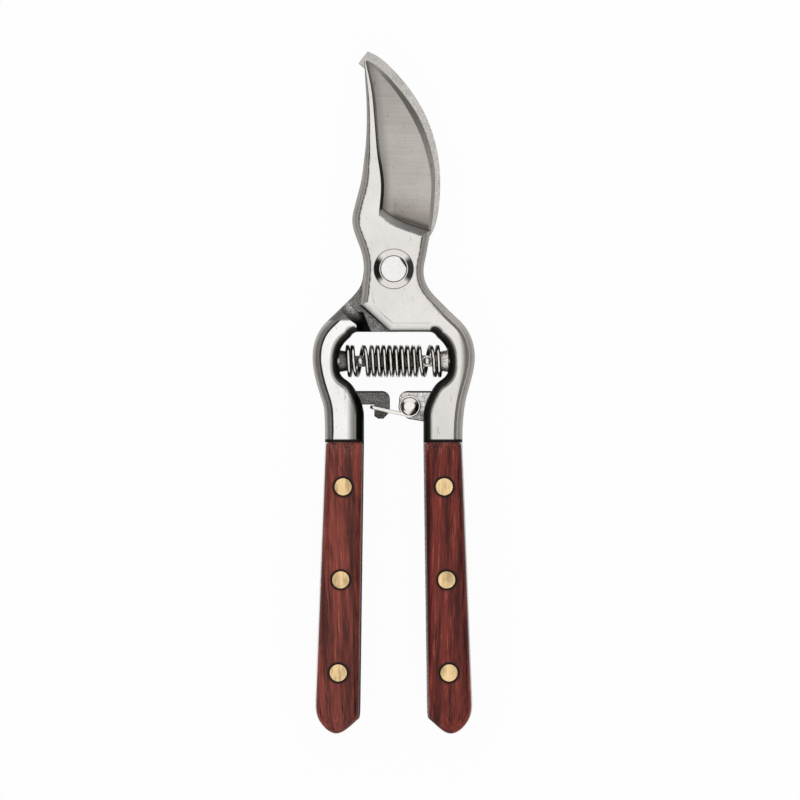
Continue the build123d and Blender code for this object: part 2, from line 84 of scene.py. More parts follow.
class Body(Enum):
    """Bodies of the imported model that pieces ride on."""

    BLADE_HALF = "blade_half"
    HOOK_HALF = "hook_half"
    LEFT_SWIVEL = "left_swivel"
    RIGHT_SWIVEL = "right_swivel"
    CATCH = "catch"


class Bench:
    """A node tree being built."""

    def __init__(self, tree: bpy.types.NodeTree) -> None:
        """Starts on the tree that the nodes go into."""
        self.tree = tree

    def node(self, kind: str, inputs: dict[Any, Any] | None = None, **settings: Any) -> bpy.types.Node:
        """Adds a node.

        Args:
            kind: The node's type.
            inputs: A value or a socket to link for each input, by name or by number.
            **settings: Properties of the node itself.

        Returns:
            The node.
        """
        made = self.tree.nodes.new(kind)
        for name, value in settings.items():
            setattr(made, name, value)
        self.fill(made, inputs or {})
        return made

    def fill(self, made: bpy.types.Node, inputs: dict[Any, Any]) -> None:
        """Links or sets a node's inputs.

        Args:
            made: The node.
            inputs: A value or a socket to link for each input, by name or by number.
        """
        for key, value in inputs.items():
            if isinstance(value, bpy.types.NodeSocket):
                self.tree.links.new(value, made.inputs[key])
            else:
                made.inputs[key].default_value = value

    def math(self, operation: str, *values: Any, clamp: bool = False) -> Socket:
        """Returns the result of a math node on numbers or sockets, kept from 0 to 1 if clamped."""
        inputs = dict(enumerate(values))
        return self.node("ShaderNodeMath", inputs, operation=operation, use_clamp=clamp).outputs[0]

    def line(self, value: Any, slope: Any, start: Any) -> Socket:
        """Returns a slope times a value, plus a start."""
        return self.math("MULTIPLY_ADD", value, slope, start)

    def less(self, first: Any, second: Any) -> Socket:
        """Returns the first value less the second."""
        return self.math("SUBTRACT", first, second)

    def product(self, first: Any, *others: Any) -> Socket:
        """Returns the product of values, which for masks is where all of them are."""
        for other in others:
            first = self.math("MULTIPLY", first, other)
        return first

    def step(self, value: Any, low: float, high: float) -> Socket:
        """Returns a smooth step, 0 at low and 1 at high, which may be the lesser one."""
        inputs = {"Value": value, "From Min": low, "From Max": high}
        return self.node("ShaderNodeMapRange", inputs, interpolation_type="SMOOTHSTEP").outputs[0]

    def band(self, value: Any, start: float, full: float, wane: float, end: float) -> Socket:
        """Returns a smooth window, 0 up to its start, 1 from full to wane and 0 again from its end."""
        return self.product(self.step(value, start, full), self.step(value, end, wane))

    def mix(self, share: Any, first: Any, second: Any) -> Socket:
        """Returns two colours mixed, by how much of the second there is."""
        return self.node("ShaderNodeMix", {0: share, 6: first, 7: second}, data_type="RGBA").outputs[2]

    def split(self, vector: Socket) -> tuple[Socket, Socket, Socket]:
        """Returns the three parts of a vector."""
        parts = self.node("ShaderNodeSeparateXYZ", {0: vector}).outputs
        return parts[0], parts[1], parts[2]

    def ramp(self, value: Socket, *stops: tuple[float, Colour]) -> Socket:
        """Adds a colour ramp.

        Args:
            value: Where it is read.
            *stops: Each stop's place and colour, in rising order.

        Returns:
            The colour's socket.
        """
        node = self.node("ShaderNodeValToRGB", {0: value})
        elements = node.color_ramp.elements
        while len(elements) < len(stops):
            elements.new(0.5)
        for element, (place, colour) in zip(elements, stops):
            element.position = place
            element.color = colour
        return node.outputs[0]

    def tint(self, colour: Any, factor: Any) -> Socket:
        """Returns a colour multiplied by a grey factor or by another colour."""
        inputs = {0: 1.0, 6: colour, 7: factor}
        return self.node("ShaderNodeMix", inputs, data_type="RGBA", blend_type="MULTIPLY").outputs[2]

    def vectors(self, operation: str, first: Any, second: Any = (0.0, 0.0, 0.0)) -> bpy.types.Node:
        """Adds a vector math node on one or two vectors or sockets."""
        return self.node("ShaderNodeVectorMath", {0: first, 1: second}, operation=operation)

    def mapped(self, vector: Socket, scale: Point, turn: float = 0.0) -> Socket:
        """Returns a vector turned about the upright axis and scaled."""
        inputs = {"Vector": vector, "Rotation": (0, 0, turn), "Scale": scale}
        return self.node("ShaderNodeMapping", inputs).outputs[0]

    def coat(self, shader: bpy.types.Node, colour: Socket, roughness: Socket) -> None:
        """Links a shader's colour and its roughness."""
        self.tree.links.new(colour, shader.inputs["Base Color"])
        self.tree.links.new(roughness, shader.inputs["Roughness"])

    def noise(self, vector: Socket, scale: float, detail: float = 3.0, roughness: float = 0.5) -> Socket:
        """Returns noise from 0 to 1, its scale the features in a metre and its detail the finer octaves."""
        inputs = {"Vector": vector, "Scale": scale, "Detail": detail, "Roughness": roughness}
        return self.node("ShaderNodeTexNoise", inputs).outputs["Fac"]


class EffectGroup(Enum):
    """Effects that several finishes share, each built once as a node group."""

    BRUSHING = "BrushedLines"
    SPECKLE = "ForgeSpeckle"
    RING = "RingAround"
    SCRATCHES = "FineScratches"


class Effects:
    """Builds each shared effect once and places it in the materials."""

    @staticmethod
    def _new_group(effect: EffectGroup, inputs: dict[str, float | None]) -> tuple[Bench, Any, Any]:
        """Makes an empty group.

        Args:
            effect: The effect's name.
            inputs: Names of its inputs with their defaults, None for a vector.

        Returns:
            The bench of its tree, its inputs' sockets and its output node.
        """
        tree = bpy.data.node_groups.new(effect.value, "ShaderNodeTree")
        for name, default in inputs.items():
            kind = "NodeSocketVector" if default is None else "NodeSocketFloat"
            socket = tree.interface.new_socket(name, in_out="INPUT", socket_type=kind)
            if default is not None:
                socket.default_value = default
        tree.interface.new_socket("Value", in_out="OUTPUT", socket_type="NodeSocketFloat")
        bench = Bench(tree)
        return bench, bench.node("NodeGroupInput").outputs, bench.node("NodeGroupOutput")

    @classmethod
    def _brushing(cls) -> bpy.types.NodeTree:
        """Returns the group of fine parallel lines, drawn out along one direction."""
        inputs = {"Vector": None, "Draw": None, "Lines": 3000.0}
        bench, entry, outlet = cls._new_group(EffectGroup.BRUSHING, inputs)
        drawn = bench.vectors("MULTIPLY", entry["Vector"], entry["Draw"])
        lines = bench.noise(drawn.outputs[0], entry["Lines"], 3.0, 0.7)
        bench.tree.links.new(lines, outlet.inputs["Value"])
        return bench.tree

    @classmethod
    def _speckle(cls) -> bpy.types.NodeTree:
        """Returns the group of small pits and blotches that forging leaves."""
        bench, entry, outlet = cls._new_group(EffectGroup.SPECKLE, {"Vector": None, "Size": 0.6})
        scale = bench.math("DIVIDE", 1.0 / MM, entry["Size"])
        fine = bench.noise(entry["Vector"], scale, 2.0)
        coarse = bench.noise(entry["Vector"], bench.math("DIVIDE", scale, 5.0), 2.0)
        both = bench.line(fine, 0.8, bench.product(coarse, 0.2))
        bench.tree.links.new(bench.step(both, 0.36, 0.64), outlet.inputs["Value"])
        return bench.tree

    @classmethod
    def _scratches(cls) -> bpy.types.NodeTree:
        """Returns the group of sparse short scratches and rubbed dots, 1 in a scratch."""
        bench, entry, outlet = cls._new_group(EffectGroup.SCRATCHES, {"Vector": None, "Spread": 1.0})
        scale = bench.math("DIVIDE", 0.45 / MM, entry["Spread"])
        slanted = bench.mapped(entry["Vector"], (1.0, 0.22, 1.0), 0.6)
        streaks = bench.noise(slanted, bench.product(scale, 3.0), 4.0, 0.6)
        places = bench.noise(entry["Vector"], bench.product(scale, 0.5), 2.0, 0.5)
        both = bench.product(bench.step(streaks, 0.6, 0.68), bench.step(places, 0.47, 0.6))
        bench.tree.links.new(both, outlet.inputs["Value"])
        return bench.tree

    @classmethod
    def _ring(cls) -> bpy.types.NodeTree:
        """Returns the group that is 1 near an upright axis and fades out over a width beyond a radius."""
        inputs = {"Vector": None, "Centre": None, "Radius": 1.0, "Width": 1.0}
        bench, entry, outlet = cls._new_group(EffectGroup.RING, inputs)
        apart = bench.vectors("SUBTRACT", entry["Vector"], entry["Centre"])
        flat = bench.vectors("MULTIPLY", apart.outputs[0], (1.0, 1.0, 0.0))
        far = bench.vectors("LENGTH", flat.outputs[0]).outputs["Value"]
        beyond = bench.math("DIVIDE", bench.less(far, entry["Radius"]), entry["Width"])
        bench.tree.links.new(bench.step(beyond, 1.0, 0.0), outlet.inputs["Value"])
        return bench.tree

    @classmethod
    def place(cls, bench: Bench, effect: EffectGroup, inputs: dict[str, Any]) -> Socket:
        """Places an effect in a material.

        Args:
            bench: The material's bench.
            effect: Which effect.
            inputs: Values or sockets by input name.

        Returns:
            The effect's output socket.
        """
        tree = bpy.data.node_groups.get(effect.value)
        if tree is None:
            tree = getattr(cls, f"_{effect.name.lower()}")()
        placed = bench.node("ShaderNodeGroup", node_tree=tree)
        bench.fill(placed, inputs)
        return placed.outputs["Value"]


def start_material(name: str, **fixed: float) -> tuple[bpy.types.Material, Bench, Any, Socket]:
    """Starts a material with one Principled shader.

    Args:
        name: The material's name.
        **fixed: Numbers set on the shader's own sockets, with _ for each space of their names.

    Returns:
        The material, its bench, its shader node and the Object coordinate's socket.
    """
    material = bpy.data.materials.new(name)
    material.use_nodes = True
    bench = Bench(material.node_tree)
    shader = material.node_tree.nodes["Principled BSDF"]
    for key, value in fixed.items():
        shader.inputs[key.replace("_", " ")].default_value = value
    place = bench.node("ShaderNodeTexCoord").outputs["Object"]
    return material, bench, shader, place


def relief(bench: Bench, height: Socket, depth: float, shader: Any, strength: Any) -> None:
    """Gives a shader a bump of a height from 0 to 1, its depth in metres."""
    bump = bench.node("ShaderNodeBump", {"Distance": depth, "Height": height, "Strength": strength})
    bench.tree.links.new(bump.outputs[0], shader.inputs["Normal"])


Span = tuple[float, float]
Stops = tuple[Span, ...]
Zone = tuple[tuple[Any, ...], ...]
LAP_LEVEL = 8.0  # height of the plane where the two halves meet, in millimetres


class Surface(Bench):
    """A bench with the measures that lay out the zones of a forging.

    x, y and z are in millimetres; nx, ny and nz are the normal's parts. The side is the distance from the
    tool's middle line towards the half's own handle, and the height is that from its lap face. Facing and
    inward say how far the normal turns the lap face's way and away from the handle. The inset is 0 where
    the surface stands upright, as at a rim, and 1 where it lies flat.
    """

    def __init__(self, tree: bpy.types.NodeTree, place: Socket, outward: float) -> None:
        """Reads the measures.

        Args:
            tree: The material's node tree.
            place: The Object coordinate's socket.
            outward: 1 where the half's own handle is on the right, -1 on the left.
        """
        super().__init__(tree)
        self.place = place
        scale = {0: place, "Scale": 1.0 / MM}
        scaled = self.node("ShaderNodeVectorMath", scale, operation="SCALE").outputs[0]
        self.x, self.y, self.z = self.split(scaled)
        self.nx, self.ny, self.nz = self.split(self.node("ShaderNodeTexCoord").outputs["Normal"])
        fall = self.math("SUBTRACT", 1.0, self.math("POWER", self.nz, 2.0), clamp=True)
        self.inset = self.less(1.0, self.math("SQRT", fall))
        self.flatness = self.math("ABSOLUTE", self.nz)
        self.width = self.math("ABSOLUTE", self.x)
        self.side = self.product(self.x, outward)
        self.inward = self.product(self.nx, -outward)
        self.facing = self.product(self.nz, -outward)
        self.height = self.product(self.less(self.z, LAP_LEVEL), -outward)

    def zone(self, limits: Zone) -> Socket:
        """Returns the mask of a zone.

        Args:
            limits: For each measure its name, then two values between which the zone fades in, or four
                between which it fades in and out again.

        Returns:
            The mask's socket.
        """
        masks = []
        for name, *edges in limits:
            measure = getattr(self, name)
            masks.append(self.step(measure, *edges) if len(edges) == 2 else self.band(measure, *edges))
        return self.product(*masks)


def shades(stops: Stops) -> list[tuple[float, Colour]]:
    """Returns a flank's tones as greys for a ramp, the darker ones warmer."""
    return [(at, grey(tone, 0.07 * (1.0 - tone))) for at, tone in stops]


def greys(stops: Stops, warmth: float = 0.0) -> list[tuple[float, Colour]]:
    """Returns levels as greys of one warmth for a ramp."""
    return [(at, grey(level, warmth)) for at, level in stops]


@dataclass(frozen=True)
class ForgedSteel:
    """Drop-forged steel: polished faces, with painted shade and reflection on the flanks and painted shadow
    inside the bow.

    Stops give a flank's painted shade and reflection as a share of the face's tone, from the rim (0) to the
    face (1).
    Spans are the two ends of a fade.
    """

    name: str
    outward: float
    shank: Stops
    plate: Colour
    face: Colour = grey(0.76, 0.035)
    # Flank stops paint shade and reflection by the surface's slope; the crotch's stops above 1 are a
    # painted highlight.
    neck: Stops = (
        (0.0, 0.38), (0.1, 0.5), (0.35, 0.62), (0.64, 0.56), (0.72, 0.13), (0.78, 0.15), (0.85, 1.0),
    )
    bow: Stops = ((0.0, 0.03), (0.55, 0.04), (0.7, 0.14), (0.85, 0.6), (0.95, 1.0))
    crotch: Stops = ((0.0, 0.02), (0.13, 0.03), (0.18, 1.1), (0.9, 1.06), (1.0, 1.0))
    outer_shade: Stops = ((0.0, 1.0), (1.0, 1.0))
    inner_shade: Stops = ((0.0, 1.0), (1.0, 1.0))
    below_neck: Zone = (("y", -9.0, -16.0),)
    crotch_band: Zone = (("y", -26.0, -21.0, -8.0, -3.0),)
    crotch_turn: Span = (-0.03, -0.12)
    flat_face: Zone = (("inset", 0.955, 0.985),)
    inside_bow: Zone = (("inward", 0.02, 0.14), ("side", 8.6, 8.8), ("y", -12.0, -16.0))
    above_scales: Zone = (("y", -34.0, -42.0),)
    bow_face: Zone = (("y", -43.0, -38.0, -19.0, -15.0),)
    bulge_x: float = 25.4
    bulge_y: float = -27.5
    bend_above: float = 0.0197
    bend_below: float = 0.0113
    shade_reach: float = 6.0
    inner_x: float = 9.6

    lap: Colour = grey(0.2, 0.04)
    hook_face: Colour = grey(0.5, 0.045)
    lap_face: Zone = (("facing", 0.5, 0.9), ("height", 0.25, 0.1))
    on_hook: Zone = (("y", -3.0, 6.0),)
    hook_coarseness: float = 0.32
    # Painted shadow on the lap face's corner next to the cove.
    corner_slope: float = -0.4
    corner_side: Span = (14.6, 15.1)
    corner_below: Zone = (("y", -12.9, -13.7),)
    # The cove's colours are painted shade, turning to painted shadow deep in it.
    cove: Colour = grey(0.42, 0.04)
    cove_shadow: Colour = grey(0.006, 0.04)
    cove_wall: Zone = (
        ("side", 2.0, 3.0), ("y", -6.0, -7.0), ("height", 0.015, 0.04, 4.97, 5.02), ("facing", -0.05, 0.0),
    )
    wall_radius: Span = (21.1, 20.9)
    wall_side: Span = (11.7, 11.5)
    cove_lean: float = 0.6
    cove_depth: Span = (-14.5, -9.5)
    # Painted highlight along the cove's foot.
    foot: Colour = grey(0.4, 0.04)
    foot_height: Span = (0.3, 0.12)
    foot_depth: Span = (0.5, 0.2)
    # Painted shadow at the top of the shank's face, below the neck; only the hook half has it.
    cap_shadow: Colour = grey(0.17, 0.04)
    cap_shadowed: float = 0.0
    on_cap_shadow: Zone = (("side", 9.5, 10.0), ("y", -16.5, -15.7, -10.0, -9.0))

    # Painted shade on the plate's turned rim and painted shadow along the crease above it.
    plate_rim_shade: Colour = grey(0.04, 0.04)
    plate_crease_shadow: Colour = grey(0.03, 0.04)
    on_plate: Zone = (("width", 12.6, 12.3), ("y", -36.0, -37.0), ("z", 10.4, 10.2))
    turned_plate: Zone = (("flatness", 0.97, 0.9),)
    above_plate: Zone = (("y", -38.8, -38.5),)
    low_plate: Zone = (("y", -43.5, -45.0),)
    low_plate_tone: float = 0.5
    peg: Colour = grey(0.15, 0.05)
    on_peg: Zone = (("width", 17.1, 16.9), ("y", -32.95, -32.65, -24.85, -24.55))
    # Painted shadow along the steel's end where the scales meet it.
    joint_shade: Colour = grey(0.02, 0.03)
    on_joint_shade: Zone = (("y", -54.4, -54.0, -53.4, -53.0),)

    speckle_size: float = 0.45
    cloud_scale: float = 90.0
    pit_depth: float = 0.03 * MM

    def _flank(self, on: Surface) -> Socket:
        """Lays out the painted shade and reflection of the rounded flanks and of the faces between them.

        Args:
            on: The forging's surface.

        Returns:
            The socket of the painted tone, as a share of the face's.
        """
        # Painted shade and reflection by the slope of each flank, with a painted highlight at the crotch.
        shank, neck, bow, crotch = (
            on.ramp(on.inset, *shades(stops)) for stops in (self.shank, self.neck, self.bow, self.crotch)
        )
        tone = on.mix(on.zone(self.below_neck), neck, shank)
        under = on.product(on.ny, on.zone(self.crotch_band))
        tone = on.mix(on.step(under, *self.crotch_turn), tone, crotch)
        tone = on.mix(on.zone(self.flat_face), tone, self._face_shade(on, tone))
        # Painted shadow inside the bow, deepened above the scales by the inner painted shade.
        bow = on.mix(on.zone(self.above_scales), bow, on.tint(bow, self._inner_tone(on)))
        return on.mix(on.zone(self.inside_bow), tone, bow)

    def _face_shade(self, on: Surface, tone: Socket) -> Socket:
        """Shades the shank's face towards its outer side, and towards the inner one above the scales.

        Args:
            on: The forging's surface.
            tone: The tone under the shades.

        Returns:
            The shaded tone's socket.
        """
        from_bulge = on.less(on.y, self.bulge_y)
        above = on.math("POWER", on.math("MAXIMUM", from_bulge, 0.0), 2.0)
        below = on.math("POWER", on.math("MINIMUM", from_bulge, 0.0), 2.0)
        edge = on.line(above, -self.bend_above, self.bulge_x)
        edge = on.line(below, -self.bend_below, edge)
        outer = on.math("DIVIDE", on.less(edge, on.side), self.shade_reach)
        toned = on.mix(on.zone(self.bow_face), tone, on.ramp(outer, *shades(self.outer_shade)))
        return on.mix(on.zone(self.above_scales), toned, self._inner_tone(on))

    def _inner_tone(self, on: Surface) -> Socket:
        """Returns the painted shade of the shank above the scales, by the distance from its inner side."""
        inner = on.math("DIVIDE", on.less(on.side, self.inner_x), self.shade_reach)
        return on.ramp(inner, *shades(self.inner_shade))

    def _recess(self, on: Surface, colour: Socket) -> tuple[Socket, Socket]:
        """Lays the lap face and the cove at its foot over a colour, with painted shade and shadow in the
        cove, a painted highlight along its foot, and painted shadow on the lap face's corner and at the top
        of the shank's face.

        Args:
            on: The forging's surface.
            colour: The colour under them.

        Returns:
            The new colour's socket and that of how coarse both are, from 0 to 1.
        """
        lap, hook = on.zone(self.lap_face), on.zone(self.on_hook)
        # Painted shadow on the lap face's corner next to the cove.
        corner = on.step(on.line(on.y, self.corner_slope, on.side), *self.corner_side)
        corner = on.product(corner, on.zone(self.corner_below))
        lap_colour = on.mix(corner, on.mix(hook, self.lap, self.hook_face), self.cove_shadow)
        far = on.math("SQRT", on.math("ADD", on.math("POWER", on.x, 2.0), on.math("POWER", on.y, 2.0)))
        inside = on.math("MAXIMUM", on.step(far, *self.wall_radius), on.step(on.side, *self.wall_side))
        cove = on.product(inside, on.zone(self.cove_wall))
        # Painted shadow deepening into the cove.
        depth = on.step(on.line(on.side, -1.0, on.product(on.height, self.cove_lean)), *self.cove_depth)
        # Painted highlight along the cove's foot.
        lit = on.product(on.step(on.height, *self.foot_height), on.step(depth, *self.foot_depth))
        cove_colour = on.mix(lit, on.mix(depth, self.cove, self.cove_shadow), self.foot)
        # Painted shadow at the top of the shank's face.
        colour = on.mix(on.product(on.zone(self.on_cap_shadow), self.cap_shadowed), colour, self.cap_shadow)
        colour = on.mix(cove, on.mix(lap, colour, lap_colour), cove_colour)
        finer = on.line(hook, self.hook_coarseness - 1.0, 1.0)
        return colour, on.product(on.math("MAXIMUM", lap, cove), finer)

    def _zones(self, on: Surface) -> tuple[Socket, Socket]:
        """Lays out the zones of a half.

        Args:
            on: The forging's surface.

        Returns:
            The colour's socket and that of how coarse the surface is, from 0 to 1.
        """
        colour, coarse = self._recess(on, on.tint(self.face, self._flank(on)))
        plate, peg = on.zone(self.on_plate), on.zone(self.on_peg)
        # Painted shade on the plate's turned rim and painted shadow along the crease above it.
        plated = on.mix(on.zone(self.turned_plate), self.plate, self.plate_rim_shade)
        plated = on.mix(on.zone(self.above_plate), plated, self.plate_crease_shadow)
        plated = on.tint(plated, on.line(on.zone(self.low_plate), self.low_plate_tone - 1.0, 1.0))
        colour = on.mix(peg, on.mix(plate, colour, plated), self.peg)
        # Painted shadow where the scales meet the steel.
        colour = on.mix(on.zone(self.on_joint_shade), colour, self.joint_shade)
        return colour, on.math("MAXIMUM", coarse, on.math("MAXIMUM", plate, peg))

    def material(self) -> bpy.types.Material:
        """Returns the finish as a material."""
        material, bench, shader, place = start_material(self.name, Metallic=1.0)
        on = Surface(bench.tree, place, self.outward)
        colour, coarse = self._zones(on)
        speckle = Effects.place(on, EffectGroup.SPECKLE, {"Vector": place, "Size": self.speckle_size})
        clouds = on.noise(place, self.cloud_scale, 3.0, 0.6)
        scratches = Effects.place(on, EffectGroup.SCRATCHES, {"Vector": place, "Spread": 1.0})
        contrast = on.line(coarse, 0.85, 0.05)
        dull_and_shade = on.math("ADD", on.line(clouds, 0.3, 0.84), on.product(on.less(speckle, 0.5), contrast))
        dull_and_shade = on.less(dull_and_shade, on.product(scratches, 0.3))
        satin = on.product(on.step(on.inset, 0.95, 0.8), 0.28)
        rough = on.line(coarse, 0.18, on.line(clouds, 0.14, 0.17))
        rough = on.math("MAXIMUM", on.math("ADD", satin, 0.2), rough)
        on.coat(shader, on.tint(colour, dull_and_shade), rough)
        relief(on, speckle, self.pit_depth, shader, on.line(coarse, 0.55, 0.06))
        return material


@dataclass(frozen=True)
class BladeSteel(ForgedSteel):
    """The forged half that carries the blade: rib polished, face hollow-ground, bevel whetted."""

    rib_start: float = 19.0
    tip_y: float = 65.4
    rib_z: float = 13.0
    rib_drop: float = 3.6
    rib_curve: float = 1.5
    below_rib: Span = (0.25, 0.45)
    on_blade: Zone = (("y", 11.5, 12.0), ("nz", 0.2, 0.6), ("nx", -0.35, -0.25))
    brushing: float = 1.7
    draw: Point = (0.03, 1.0, 0.03)
    streak_scale: float = 70.0
    ground: Colour = grey(0.455, 0.07)
    ground_shade: Colour = grey(0.17, 0.045)
    upper_half: Zone = (("y", 27.0, 38.0),)
    tip_part: Zone = (("y", 38.0, 58.0),)
    foot_x: float = -4.2
    foot_y: float = 24.0
    foot_bend: float = -0.0027
    foot_reach: Span = (3.8, 0.6)
    # Painted shade in a band sloping across the ground face above the shoulder.
    shoulder_shade_x: float = 5.0
    shoulder_shade_y: float = 15.0
    shoulder_shade_slope: float = 0.33
    shoulder_shade_start: float = 2.0
    shoulder_shade_reach: float = 12.0
    shoulder_shade_side: Span = (-8.0, -4.0)
    above_shoulder: Stops = (
        (0.0, 0.45), (0.1, 0.3), (0.165, 0.17), (0.22, 0.3), (0.28, 0.5), (0.5, 0.68), (0.68, 0.84),
        (1.0, 1.0),
    )
    # Painted shadow on the wall up to the rib, darker low down.
    wall_low: Colour = grey(0.05, 0.05)
    wall_high: Colour = grey(0.09, 0.05)
    wall_turn: Span = (0.25, 0.5)
    bevel: Colour = grey(0.34, 0.07)
    bevel_high: Colour = grey(0.17, 0.09)
    bevel_turn: tuple[float, ...] = (0.26, 0.33, 0.6, 0.72)
    below_face: Zone = (("z", 10.2, 9.8),)
    bevel_rise: Zone = (("y", 34.0, 52.0),)
    # Painted shade on the sloping shoulder by its slope, dimmer towards the right.
    shoulder: Stops = ((0.0, 0.12), (0.12, 0.26), (0.8, 0.28), (0.97, 0.3))
    on_shoulder: Zone = (
        ("ny", 0.05, 0.2), ("y", 9.0, 10.0, 20.0, 21.0), ("x", -6.0, -5.0), ("nz", 0.0, 0.1),
    )
    dim_shoulder: Zone = (("x", -2.0, 5.0),)
    # Painted shadow on the blade's face round the pivot collar.
    ring: Colour = grey(0.03, 0.05)
    ring_radius: float = 6.1 * MM
    ring_width: float = 0.4 * MM
    facing_front: Zone = (("nz", 0.5, 0.9),)

    def _ground_face(self, on: Surface, lines: Socket, streaks: Socket) -> Socket:
        """Colours the hollow-ground face with painted shade near the rib and above the shoulder, the wall
        up to the rib with painted shadow, and the whetted bevel.

        Args:
            on: The forging's surface.
            lines: The grinding lines' socket.
            streaks: The clouds' socket.

        Returns:
            The colour's socket.
        """
        curve = on.math("POWER", on.less(on.y, self.foot_y), 2.0)
        from_foot = on.less(on.x, on.line(curve, self.foot_bend, self.foot_x))
        high = on.zone(self.upper_half)
        shade = on.product(on.step(from_foot, *self.foot_reach), on.line(high, -0.45, 0.95))
        ground = on.mix(shade, self.ground, self.ground_shade)
        ground = on.tint(ground, on.line(on.zone(self.tip_part), -0.2, 1.0))
        # Painted shade above the shoulder, half as strong towards the rib.
        along = on.less(on.x, self.shoulder_shade_x)
        across = on.line(along, self.shoulder_shade_slope, on.less(on.y, self.shoulder_shade_y))
        above = on.math("DIVIDE", on.math("ADD", across, self.shoulder_shade_start), self.shoulder_shade_reach)
        shoulder_shaded = on.tint(ground, on.ramp(above, *shades(self.above_shoulder)))
        ground = on.mix(on.step(along, *self.shoulder_shade_side), on.mix(0.5, ground, shoulder_shaded), shoulder_shaded)
        # Painted shadow on the steep wall up to the rib.
        steep = on.step(on.line(high, -0.35, on.nx), *self.wall_turn)
        ground = on.mix(steep, ground, on.mix(high, self.wall_low, self.wall_high))
        ground = on.tint(ground, on.line(lines, 0.36, on.line(streaks, 0.16, 0.74)))
        turned = on.line(on.math("MAXIMUM", on.ny, 0.0), 0.9, on.nx)
        whetted = on.product(on.band(turned, *self.bevel_turn), on.zone(self.below_face))
        bevel = on.mix(on.zone(self.bevel_rise), self.bevel, self.bevel_high)
        return on.mix(whetted, ground, on.tint(bevel, on.line(lines, 0.3, 0.85)))

    def _zones(self, on: Surface) -> tuple[Socket, Socket]:
        """Lays out the zones of the half, then those of its blade.

        Args:
            on: The forging's surface.

        Returns:
            The colour's socket and that of how coarse the surface is, from 0 to 1.
        """
        colour, coarse = super()._zones(on)
        rise = on.math("DIVIDE", on.less(on.y, self.rib_start), self.tip_y - self.rib_start)
        drop = on.product(on.math("POWER", on.math("MAXIMUM", rise, 0.0), self.rib_curve), self.rib_drop)
        depth = on.less(on.less(self.rib_z, drop), on.z)
        blade = on.product(on.zone(self.on_blade), on.step(depth, *self.below_rib))
        brushed = {"Vector": on.place, "Draw": self.draw, "Lines": self.brushing / MM}
        lines = Effects.place(on, EffectGroup.BRUSHING, brushed)
        streaks = on.noise(on.place, self.streak_scale, 2.0, 0.5)
        colour = on.mix(blade, colour, self._ground_face(on, lines, streaks))
        # Painted shade on the shoulder by its slope, mottled by noise.
        painted_light_and_wear = on.ramp(on.inset, *greys(self.shoulder, 0.045))
        dim = on.line(on.zone(self.dim_shoulder), -0.4, 0.72)
        painted_light_and_wear = on.tint(painted_light_and_wear, on.line(streaks, 0.7, dim))
        colour = on.mix(on.zone(self.on_shoulder), colour, painted_light_and_wear)
        # Painted shadow round the pivot collar.
        around = {"Vector": on.place, "Radius": self.ring_radius, "Width": self.ring_width}
        ring = on.product(Effects.place(on, EffectGroup.RING, around), on.zone(self.facing_front))
        return on.mix(ring, colour, self.ring), coarse


@dataclass(frozen=True)
class PlainSteel:
    """Steel of one tone, for wire, pins and rivets, with a painted shadow ring about its axis and a painted
    dark reflection on one side where asked for.
    """

    name: str
    colour: Colour
    roughness: float
    speckle_size: float = 0.3
    contrast: float = 0.2
    dents: float = 0.1
    # Painted shadow ring about the piece's axis, out to this radius.
    dark_radius: float = 0.0
    dark_width: float = 0.25 * MM
    dark: Colour = grey(0.03, 0.04)
    # Painted dark reflection on the side the normal turns towards.
    shaded_side: tuple[float, float] = (0.0, 0.0)
    shade_turn: Span = (0.25, 0.5)
    dull_and_shade: Colour = grey(0.05, 0.05)

    def material(self) -> bpy.types.Material:
        """Returns the finish as a material."""
        material, bench, shader, place = start_material(self.name, Metallic=1.0)
        speckle = Effects.place(bench, EffectGroup.SPECKLE, {"Vector": place, "Size": self.speckle_size})
        colour = bench.tint(self.colour, bench.line(speckle, self.contrast, 1.0 - self.contrast / 2))
        # Painted shadow ring about the axis.
        if self.dark_radius:
            around = {"Vector": place, "Radius": self.dark_radius, "Width": self.dark_width}
            colour = bench.mix(Effects.place(bench, EffectGroup.RING, around), colour, self.dark)
        # Painted dark reflection on one side, by the normal.
        if any(self.shaded_side):
            nx, ny, _ = bench.split(bench.node("ShaderNodeTexCoord").outputs["Normal"])
            turned = bench.line(ny, self.shaded_side[1], bench.product(nx, self.shaded_side[0]))
            colour = bench.mix(bench.step(turned, *self.shade_turn), colour, self.dull_and_shade)
        bench.coat(shader, colour, bench.line(speckle, 0.1, self.roughness))
        relief(bench, speckle, 0.05 * MM, shader, self.dents)
        return material


@dataclass(frozen=True)
class SpringSteel:
    """Blued spring wire with painted shade on its sides and a painted highlight along the outside of its
    turns.
    """

    name: str = "spring_wire_dark"
    # Dark wire whose darkness is partly painted shade; the light colour is a painted highlight.
    blued_and_shaded: Colour = grey(0.035, 0.08)
    painted_highlight: Colour = grey(0.8, 0.07)
    outwardness: str = "outwardness"
    highlight_crest: Span = (0.93, 1.02)
    wear_scale: float = 500.0
    grain_scale: float = 4000.0

    def material(self) -> bpy.types.Material:
        """Returns the finish as a material."""
        material, bench, shader, place = start_material(self.name, Metallic=1.0)
        # Painted highlight along the outside of the turns, broken up by noise that also sets the roughness.
        crest = bench.node("ShaderNodeAttribute", attribute_name=self.outwardness).outputs["Fac"]
        painted_light_and_wear = bench.noise(place, self.wear_scale, 2.0, 0.5)
        bright = bench.step(bench.line(painted_light_and_wear, 0.12, crest), *self.highlight_crest)
        bench.coat(shader, bench.mix(bright, self.blued_and_shaded, self.painted_highlight), bench.line(painted_light_and_wear, 0.2, 0.12))
        relief(bench, bench.noise(place, self.grain_scale, 2.0, 0.5), 0.02 * MM, shader, 0.2)
        return material


